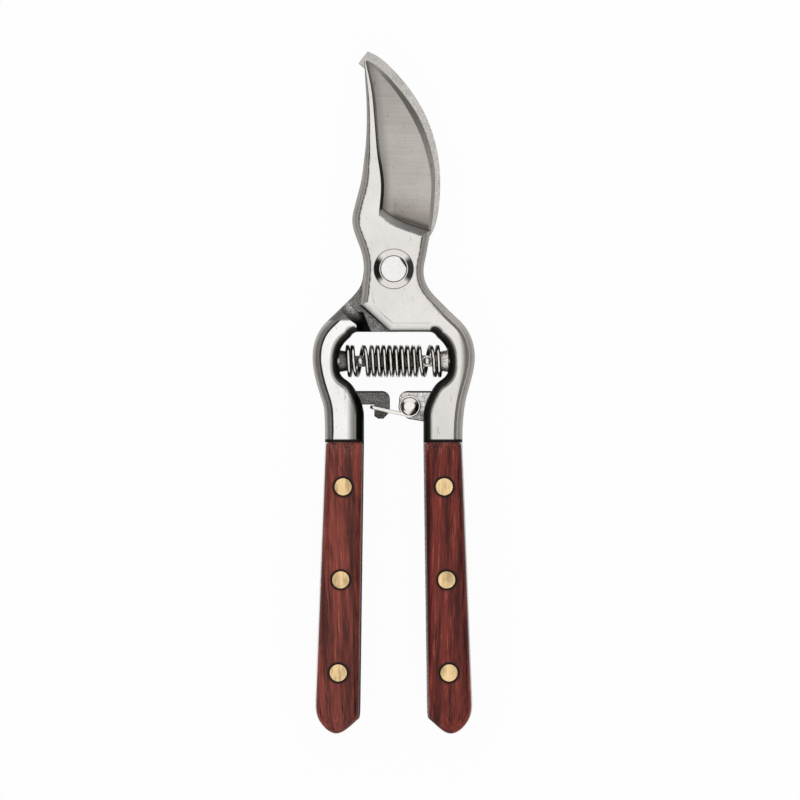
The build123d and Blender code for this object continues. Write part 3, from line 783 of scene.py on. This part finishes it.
@dataclass(frozen=True)
class Rosewood:
    """Oiled rosewood: deep red-brown with dark streaks and open pores along the handle."""

    name: str
    rivets: tuple[Point, ...]
    rivet_radius: float
    light: Colour = (0.23, 0.036, 0.024, 1.0)
    deep: Colour = (0.055, 0.009, 0.008, 1.0)
    # Painted highlight on the fibres at the top end, by the steel.
    painted_highlight: Colour = (0.42, 0.2, 0.17, 1.0)
    # Painted highlight streaks along the grain.
    gleam: Colour = (0.42, 0.1, 0.07, 1.0)
    streak: Colour = (0.014, 0.005, 0.005, 1.0)
    # Dark rings round the rivets, and painted shade at the joint with the steel.
    darkening: Colour = (0.006, 0.003, 0.003, 1.0)
    lean: float = 0.035
    stretch: Point = (1.0, 0.05, 0.6)
    figure_scale: float = 320.0
    fibre_scale: float = 2600.0
    pore_scale: float = 1500.0
    vein_scale: float = 700.0
    gleam_scale: float = 1900.0
    seam_y: float = -53.7
    seam_reach: float = 1.2
    highlight_end: Span = (-6.0, -2.0)
    ring_gap: float = 0.3 * MM
    ring_width: float = 0.9 * MM

    def _figure(self, bench: Bench, place: Socket) -> tuple[Socket, Socket]:
        """Lays out the wood's figure: two tones with pores, veins and painted highlight streaks.

        Args:
            bench: The material's bench.
            place: The Object coordinate's socket.

        Returns:
            The colour's socket and that of the fibres, from 0 to 1.
        """
        along = bench.mapped(bench.mapped(place, (1.0, 1.0, 1.0), self.lean), self.stretch)
        figure = bench.noise(along, self.figure_scale, 4.0, 0.6)
        fibre = bench.noise(along, self.fibre_scale, 3.0, 0.7)
        tone = bench.line(fibre, 0.4, bench.product(figure, 0.6))
        base = bench.mix(bench.step(tone, 0.4, 0.6), self.deep, self.light)
        pores = bench.step(bench.noise(along, self.pore_scale, 5.0, 0.62), 0.42, 0.33)
        base = bench.mix(bench.product(pores, 0.8), base, self.streak)
        veins = bench.step(bench.noise(along, self.vein_scale, 2.0, 0.5), 0.37, 0.3)
        base = bench.mix(bench.product(veins, 0.7), base, self.streak)
        # Painted highlight streaks on the brighter figure.
        bright = bench.step(bench.noise(along, self.gleam_scale, 3.0, 0.6), 0.55, 0.68)
        return bench.mix(bench.product(bright, bench.step(figure, 0.42, 0.6)), base, self.gleam), fibre

    def material(self) -> bpy.types.Material:
        """Returns the finish as a material."""
        material, bench, shader, place = start_material(
            self.name, Coat_Weight=0.1, Coat_Roughness=0.15, Specular_IOR_Level=0.12
        )
        base, fibre = self._figure(bench, place)
        # A dark ring round each rivet.
        darkening = 0.0
        for rivet in self.rivets:
            reach = {"Radius": self.rivet_radius + self.ring_gap, "Width": self.ring_width}
            ring = Effects.place(bench, EffectGroup.RING, {"Vector": place, "Centre": rivet, **reach})
            darkening = bench.math("MAXIMUM", ring, darkening)
        _, y, _ = bench.split(place)
        # Painted highlight on the fibres at the top end.
        end = bench.step(y, *((self.seam_y + reach) * MM for reach in self.highlight_end))
        painted_highlight = bench.product(end, 0.55, bench.step(fibre, 0.52, 0.66))
        base = bench.mix(painted_highlight, base, self.painted_highlight)
        # Painted shade on the wood, growing towards the joint with the steel.
        joint_shade = bench.step(y, (self.seam_y - self.seam_reach) * MM, self.seam_y * MM)
        base = bench.mix(bench.math("MAXIMUM", darkening, bench.product(joint_shade, 0.7)), base, self.darkening)
        bench.coat(shader, base, bench.line(fibre, 0.25, 0.3))
        relief(bench, fibre, 0.1 * MM, shader, 0.25)
        return material


@dataclass(frozen=True)
class BrushedBrass:
    """Brass rivet ends, brushed flush with the wood."""

    name: str = "brass_brushed"
    colour: Colour = (0.74, 0.53, 0.28, 1.0)
    brushing: float = 1.6
    draw: Point = (1.0, 0.15, 0.3)
    cloud_scale: float = 420.0

    def material(self) -> bpy.types.Material:
        """Returns the finish as a material."""
        material, bench, shader, place = start_material(self.name, Metallic=1.0)
        brushed = {"Vector": place, "Draw": self.draw, "Lines": self.brushing / MM}
        lines = Effects.place(bench, EffectGroup.BRUSHING, brushed)
        clouds = bench.noise(bench.mapped(place, (1.0, 0.25, 1.0)), self.cloud_scale, 3.0, 0.6)
        tone = bench.line(lines, 0.8, bench.line(bench.step(clouds, 0.36, 0.6), 0.5, 0.3))
        bench.coat(shader, bench.tint(self.colour, tone), bench.line(lines, 0.2, 0.25))
        relief(bench, lines, 0.03 * MM, shader, 0.2)
        return material


class Finishes:
    """The finishes of the tool, each made into one material when it is first asked for."""

    def __init__(self) -> None:
        """Starts with no material made."""
        self._made: dict[str, bpy.types.Material] = {}

    def of(self, finish: Any) -> bpy.types.Material:
        """Returns the material of a finish, built once."""
        if finish.name not in self._made:
            self._made[finish.name] = finish.material()
        return self._made[finish.name]

    def dress(self, node: str, finish: Any) -> None:
        """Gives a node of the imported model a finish.

        Args:
            node: The node's name.
            finish: The finish.
        """
        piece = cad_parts[node]
        piece.data.materials.clear()
        piece.data.materials.append(self.of(finish))
        log.info("%s: %s", node, finish.name)


SPRING_STEEL = SpringSteel()
BRIGHT_STEEL = PlainSteel("bright_steel", grey(0.85, 0.03), 0.12)
HAMMERED_STEEL = PlainSteel(
    "hammered_bolt_end", grey(0.86, 0.02), 0.25, speckle_size=1.6, contrast=0.08, dents=0.5
)
# Painted shadow in the gap round the bolt end, within 4.1 mm of the axis.
COLLAR_STEEL = PlainSteel(
    "pivot_collar_steel", grey(0.78, 0.05), 0.04, contrast=0.1, dents=0.03, dark_radius=4.1 * MM
)
CATCH_STEEL = PlainSteel("catch_steel", grey(0.85, 0.05), 0.08, contrast=0.12, dents=0.04)
# Painted dark reflection on the rivet's lower right side.
RIVET_STEEL = replace(CATCH_STEEL, name="catch_rivet_steel", shaded_side=(0.8, -0.6))
PIN_STEEL = PlainSteel("swivel_pin_steel", grey(0.9, 0.05), 0.35)
FINGER_STEEL = PlainSteel("finger_steel", grey(0.2, 0.03), 0.4, contrast=0.6, dents=0.6)


@dataclass
class Forgings:
    """The two forged halves."""

    finishes: Finishes

    def dress(self) -> None:
        """Gives both halves their finish."""
        # The shank, bow and shade stops paint shade and reflection on the flanks.
        blade = BladeSteel(
            "blade_half_steel",
            outward=1.0,
            plate=grey(0.62, 0.03),
            peg=grey(0.7, 0.05),
            inner_shade=((0.0, 0.92), (1.0, 0.92)),
            shank=(
                (0.0, 0.42), (0.1, 0.55), (0.4, 0.68), (0.55, 0.58), (0.62, 0.85), (0.7, 0.24), (0.9, 0.2),
                (1.0, 1.0),
            ),
            bow=((0.0, 0.03), (0.72, 0.04), (0.84, 0.35), (0.92, 1.0)),
            outer_shade=((0.0, 0.17), (0.36, 0.13), (0.48, 0.18), (0.62, 0.6), (0.75, 1.0)),
        )
        hook = ForgedSteel(
            "hook_half_steel",
            outward=-1.0,
            plate=grey(0.13, 0.05),
            plate_rim_shade=grey(0.05, 0.04),
            face=grey(0.9, 0.02),
            cap_shadowed=1.0,
            shank=(
                (0.0, 0.42), (0.15, 0.58), (0.5, 0.28), (0.74, 0.2), (0.82, 0.03), (0.88, 0.04),
                (0.93, 1.0),
            ),
            inner_shade=((0.0, 0.1), (0.38, 0.12), (0.6, 0.35), (0.85, 1.0)),
        )
        self.finishes.dress("blade_half_forging", blade)
        self.finishes.dress("hook_half_forging", hook)


@dataclass
class Pivot:
    """Bolt, collar and washer."""

    finishes: Finishes

    def dress(self) -> None:
        """Gives the pivot's pieces their finishes."""
        self.finishes.dress("pivot_bolt", HAMMERED_STEEL)
        self.finishes.dress("pivot_collar", COLLAR_STEEL)
        self.finishes.dress("pivot_washer", BRIGHT_STEEL)


@dataclass(frozen=True)
class Winding:
    """One run of the coil spring, from a share of its turns to another."""

    name: str
    start: float
    end: float


@dataclass
class SpringSet:
    """The coil spring and the swivel fingers inside it.

    The wire is wound in three runs that part behind the swivel pins, on the pins' axes; the dead turns ride
    on their halves with their pegs, and the middle run stays where it is wound.
    """

    finishes: Finishes
    outer_diameter: float = 10.4 * MM
    wire: float = 1.3 * MM
    centre_y: float = -28.75 * MM
    centre_z: float = 8.0 * MM
    pin_x: float = 10.47 * MM
    pin_gap: float = 4.2 * MM
    dead_pitch: float = 1.5 * MM
    dead_turns: float = 2.1
    live_turns: int = 10
    sides: int = 12
    steps_per_turn: int = 48

    @property
    def turns(self) -> float:
        """Turns of the whole spring."""
        return self.live_turns + 2 * self.dead_turns

    def _places(self) -> list[tuple[float, float]]:
        """Returns the run of the wire along X: shares of the turns with places, in metres."""
        half = self.live_turns / 2
        last_front = self.pin_x - self.pin_gap / 2
        first_dead = self.pin_x + self.pin_gap / 2
        end = first_dead + self.dead_pitch * (self.dead_turns - 0.5)
        right = [(half - 0.5, last_front), (half, self.pin_x), (half + 0.5, first_dead)]
        right.append((half + self.dead_turns, end))
        left = [(-turn, -x) for turn, x in reversed(right)]
        return [((turn + self.turns / 2) / self.turns, x) for turn, x in left + right]

    def _tree(self) -> bpy.types.NodeTree:
        """Builds the winding's node tree, with named inputs for its sizes.

        Returns:
            The tree.
        """
        tree = bpy.data.node_groups.new("CoilWinding", "GeometryNodeTree")
        tree.interface.new_socket("Geometry", in_out="OUTPUT", socket_type="NodeSocketGeometry")
        sizes = {
            "Start": 0.0,
            "End": 1.0,
            "Turns": self.turns,
            "Mean Radius": (self.outer_diameter - self.wire) / 2,
            "Wire Radius": self.wire / 2,
            "Half Length": self._places()[-1][1],
        }
        for name, value in sizes.items():
            socket = tree.interface.new_socket(name, in_out="INPUT", socket_type="NodeSocketFloat")
            socket.default_value = value
        for name, kind in (("Centre", "Vector"), ("Steps", "Int"), ("Steel", "Material")):
            tree.interface.new_socket(name, in_out="INPUT", socket_type=f"NodeSocket{kind}")
        bench = Bench(tree)
        entry, outlet = bench.node("NodeGroupInput").outputs, bench.node("NodeGroupOutput")
        line = bench.node("GeometryNodeCurvePrimitiveLine")
        fine = bench.node("GeometryNodeResampleCurve", {"Curve": line.outputs[0], "Count": entry["Steps"]})
        along = bench.node("GeometryNodeSplineParameter").outputs["Factor"]
        share = bench.line(along, bench.less(entry["End"], entry["Start"]), entry["Start"])
        run = bench.node("ShaderNodeFloatCurve", {"Value": share})
        points = run.mapping.curves[0].points
        places = self._places()
        reach = places[-1][1]
        while len(points) < len(places):
            points.new(0.5, 0.5)
        for point, (at, x) in zip(points, places):
            point.location = (at, (x / reach + 1) / 2)
            point.handle_type = "VECTOR"
        run.mapping.update()
        x = bench.product(bench.line(run.outputs[0], 2.0, -1.0), entry["Half Length"])
        angle = bench.product(bench.less(share, 0.5), entry["Turns"], 2 * math.pi)
        y = bench.product(bench.math("SINE", angle), entry["Mean Radius"])
        z = bench.product(bench.math("COSINE", angle), bench.product(entry["Mean Radius"], -1.0))
        spot = bench.node("ShaderNodeCombineXYZ", {0: x, 1: y, 2: z}).outputs[0]
        spot = bench.vectors("ADD", spot, entry["Centre"]).outputs[0]
        moved = bench.node("GeometryNodeSetPosition", {"Geometry": fine.outputs[0], "Position": spot})
        circle = {"Resolution": self.sides, "Radius": entry["Wire Radius"]}
        section = bench.node("GeometryNodeCurvePrimitiveCircle", circle)
        sweep = {"Curve": moved.outputs[0], "Profile Curve": section.outputs[0], "Fill Caps": True}
        solid = bench.node("GeometryNodeCurveToMesh", sweep)
        real = bench.node("GeometryNodeRealizeInstances", {0: solid.outputs[0]})
        finish = {"Geometry": real.outputs[0], "Material": entry["Steel"]}
        steel = bench.node("GeometryNodeSetMaterial", finish)
        tree.links.new(steel.outputs[0], outlet.inputs[0])
        return tree

    def _wind(self, tree: bpy.types.NodeTree, winding: Winding) -> bpy.types.Object:
        """Winds one run of the wire into a plain mesh.

        Args:
            tree: The winding's node tree.
            winding: Which run.

        Returns:
            The piece, at the origin.
        """
        holder = bpy.data.objects.new("winding_holder", bpy.data.meshes.new("winding_holder"))
        bpy.context.scene.collection.objects.link(holder)
        modifier = holder.modifiers.new("winding", "NODES")
        modifier.node_group = tree
        values = {
            "Start": winding.start,
            "End": winding.end,
            "Centre": (0.0, self.centre_y, self.centre_z),
            "Steps": round(self.steps_per_turn * self.turns * (winding.end - winding.start)) + 1,
            "Steel": self.finishes.of(SPRING_STEEL),
        }
        for socket in tree.interface.items_tree:
            if socket.in_out == "INPUT":
                modifier[socket.identifier] = values.get(socket.name, socket.default_value)
        bpy.context.view_layer.update()
        evaluated = holder.evaluated_get(bpy.context.evaluated_depsgraph_get())
        mesh = bpy.data.meshes.new_from_object(evaluated)
        bpy.data.objects.remove(holder)
        for face in mesh.polygons:
            face.use_smooth = len(face.vertices) == 4
        self._mark_outwardness(mesh)
        mesh.name = winding.name
        piece = bpy.data.objects.new(winding.name, mesh)
        bpy.context.scene.collection.objects.link(piece)
        log.info("%s: %s", winding.name, SPRING_STEEL.name)
        return piece

    def _mark_outwardness(self, mesh: bpy.types.Mesh) -> None:
        """Stores on each point how far its normal turns away from the spring's axis, 1 on the outside."""
        mark = mesh.attributes.new(SPRING_STEEL.outwardness, "FLOAT", "POINT")
        for vertex, value in zip(mesh.vertices, mark.data):
            spoke = Vector((0.0, vertex.co.y - self.centre_y, vertex.co.z - self.centre_z))
            value.value = spoke.normalized().dot(vertex.normal)

    def dress(self) -> None:
        """Gives the fingers and their pins their finishes."""
        for side in ("left", "right"):
            self.finishes.dress(f"{side}_swivel_finger", FINGER_STEEL)
            self.finishes.dress(f"{side}_swivel_pin", PIN_STEEL)

    def build(self) -> list[bpy.types.Object]:
        """Winds the spring's three runs and rides the two dead runs on their bodies.

        Returns:
            The three pieces.
        """
        parting = self.dead_turns / self.turns
        tree = self._tree()
        left = self._wind(tree, Winding("spring_left_dead_turns", 0.0, parting))
        middle = self._wind(tree, Winding("spring_live_turns", parting, 1.0 - parting))
        right = self._wind(tree, Winding("spring_right_dead_turns", 1.0 - parting, 1.0))
        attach(left, Body.HOOK_HALF.value)
        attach(right, Body.BLADE_HALF.value)
        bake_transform(middle)
        for piece in (left, middle, right):
            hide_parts("coil_spring")
        return [left, middle, right]


@dataclass
class Catch:
    """Wire bail with its rivet and washer."""

    finishes: Finishes

    def dress(self) -> None:
        """Gives the catch its finishes."""
        self.finishes.dress("catch_wire", CATCH_STEEL)
        self.finishes.dress("catch_rivet", RIVET_STEEL)
        self.finishes.dress("catch_washer", CATCH_STEEL)


@dataclass
class Handles:
    """Wooden scales and their brass rivets."""

    finishes: Finishes
    rivets: int = 3
    rivet_radius: float = 2.65 * MM

    def _wood(self, side: str) -> Rosewood:
        """Chooses the wood of a side, the left board being the paler one.

        Args:
            side: "left" or "right".

        Returns:
            The wood.
        """
        boxes = [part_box(f"{side}_handle_rivet_{number}") for number in range(1, self.rivets + 1)]
        centres = tuple(tuple((Vector(low) + Vector(high)) / 2) for low, high in boxes)
        if side == "left":
            light, deep = (0.27, 0.056, 0.041, 1.0), (0.075, 0.018, 0.013, 1.0)
            return Rosewood("rosewood_left", centres, self.rivet_radius, light=light, deep=deep, lean=-0.05)
        return Rosewood("rosewood_right", centres, self.rivet_radius)

    def dress(self) -> None:
        """Gives scales and rivets their finishes."""
        for side in ("left", "right"):
            wood = self._wood(side)
            for face in ("front", "back"):
                self.finishes.dress(f"{side}_{face}_scale", wood)
            for number in range(1, self.rivets + 1):
                self.finishes.dress(f"{side}_handle_rivet_{number}", BrushedBrass())


@dataclass
class Studio:
    """Pale floor, soft light and a camera straight above the tool."""

    view_centre: tuple[float, float] = (1.969 * MM, -40.94 * MM)
    view_width: float = 250 * MM
    view_level: float = 12 * MM
    camera_height: float = 1.5
    floor_half: float = 4.0
    floor_glow: float = 0.95
    floor_gap: float = 0.1 * MM
    floor_tone: float = 0.95
    sky_strength: float = 1.0
    strip_reach: Span = (0.65, 0.9)
    sensor: float = 36.0
    clip: Span = (0.01, 20.0)
    sky_left: Stops = ((0.0, 0.9), (0.05, 0.85), (0.15, 0.015), (0.52, 0.015), (0.62, 1.0))
    sky_right: Stops = ((0.0, 0.9), (0.05, 0.85), (0.15, 0.04), (0.56, 0.04), (0.68, 1.0))
    sky_lengthwise: Stops = ((0.0, 0.9), (0.3, 0.95), (0.6, 0.85), (0.85, 1.0))

    def build(self) -> None:
        """Makes floor, sky and camera, and sets how colours are shown."""
        self._floor()
        self._sky()
        self._camera()
        bpy.context.scene.view_settings.view_transform = "Standard"

    def _floor(self) -> None:
        """Makes the pale floor that the tool lies on."""
        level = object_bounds()[0].z - self.floor_gap
        half = self.floor_half
        mesh = bpy.data.meshes.new("floor")
        corners = [(-half, -half, level), (half, -half, level), (half, half, level), (-half, half, level)]
        mesh.from_pydata(corners, [], [(0, 1, 2, 3)])
        floor = bpy.data.objects.new("floor", mesh)
        bpy.context.scene.collection.objects.link(floor)
        material, bench, shader, _ = start_material("floor_white", Roughness=0.9, Specular_IOR_Level=0.1)
        shader.inputs["Base Color"].default_value = grey(self.floor_tone)
        output = material.node_tree.nodes["Material Output"]
        seen = bench.node("ShaderNodeLightPath")
        direct = bench.math("MAXIMUM", seen.outputs["Is Camera Ray"], seen.outputs["Is Glossy Ray"])
        direct = bench.math("MAXIMUM", direct, seen.outputs["Is Transmission Ray"])
        glow = bench.node("ShaderNodeEmission", {"Color": grey(1.0), "Strength": 1.0})
        share = bench.product(direct, self.floor_glow)
        mixed = bench.node("ShaderNodeMixShader", {0: share, 1: shader.outputs[0], 2: glow.outputs[0]})
        clear = bench.node("ShaderNodeBsdfTransparent")
        below = bench.node("ShaderNodeNewGeometry").outputs["Backfacing"]
        one_sided = bench.node("ShaderNodeMixShader", {0: below, 1: mixed.outputs[0], 2: clear.outputs[0]})
        bench.tree.links.new(one_sided.outputs[0], output.inputs["Surface"])
        floor.data.materials.append(material)
        floor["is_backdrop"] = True

    def _sky(self) -> None:
        """Makes the sky, pale with a dark strip to the left and to the right."""
        world = bpy.data.worlds.new("studio")
        bpy.context.scene.world = world
        world.use_nodes = True
        bench = Bench(world.node_tree)
        sky = world.node_tree.nodes["Background"]
        direction = bench.node("ShaderNodeTexCoord").outputs["Generated"]
        east, north, height = bench.split(direction)
        level = bench.math("ADD", bench.math("POWER", east, 2.0), bench.math("POWER", north, 2.0))
        sideways = bench.math("DIVIDE", east, bench.math("SQRT", level))
        colour = bench.ramp(height, *greys(self.sky_lengthwise))
        for side, stops in ((-1.0, self.sky_left), (1.0, self.sky_right)):
            share = bench.step(bench.product(sideways, side), *self.strip_reach)
            colour = bench.mix(share, colour, bench.ramp(height, *greys(stops)))
        bench.tree.links.new(colour, sky.inputs["Color"])
        sky.inputs["Strength"].default_value = self.sky_strength

    def _camera(self) -> None:
        """Makes the camera, straight above."""
        lens = bpy.data.cameras.new("camera")
        camera = bpy.data.objects.new("camera", lens)
        bpy.context.scene.collection.objects.link(camera)
        camera.location = (*self.view_centre, self.view_level + self.camera_height)
        lens.sensor_width = self.sensor
        lens.lens = self.sensor * self.camera_height / self.view_width
        lens.clip_start, lens.clip_end = self.clip
        bpy.context.scene.camera = camera


def main() -> None:
    """Dresses the tool piece by piece, then sets up the studio."""
    logging.basicConfig(level=logging.INFO, format="%(name)s: %(message)s")
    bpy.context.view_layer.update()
    finishes = Finishes()
    Forgings(finishes).dress()
    Pivot(finishes).dress()
    spring = SpringSet(finishes)
    spring.dress()
    spring.build()
    Catch(finishes).dress()
    Handles(finishes).dress()
    Studio().build()
    bpy.context.view_layer.update()


if __name__ == "__main__":
    main()
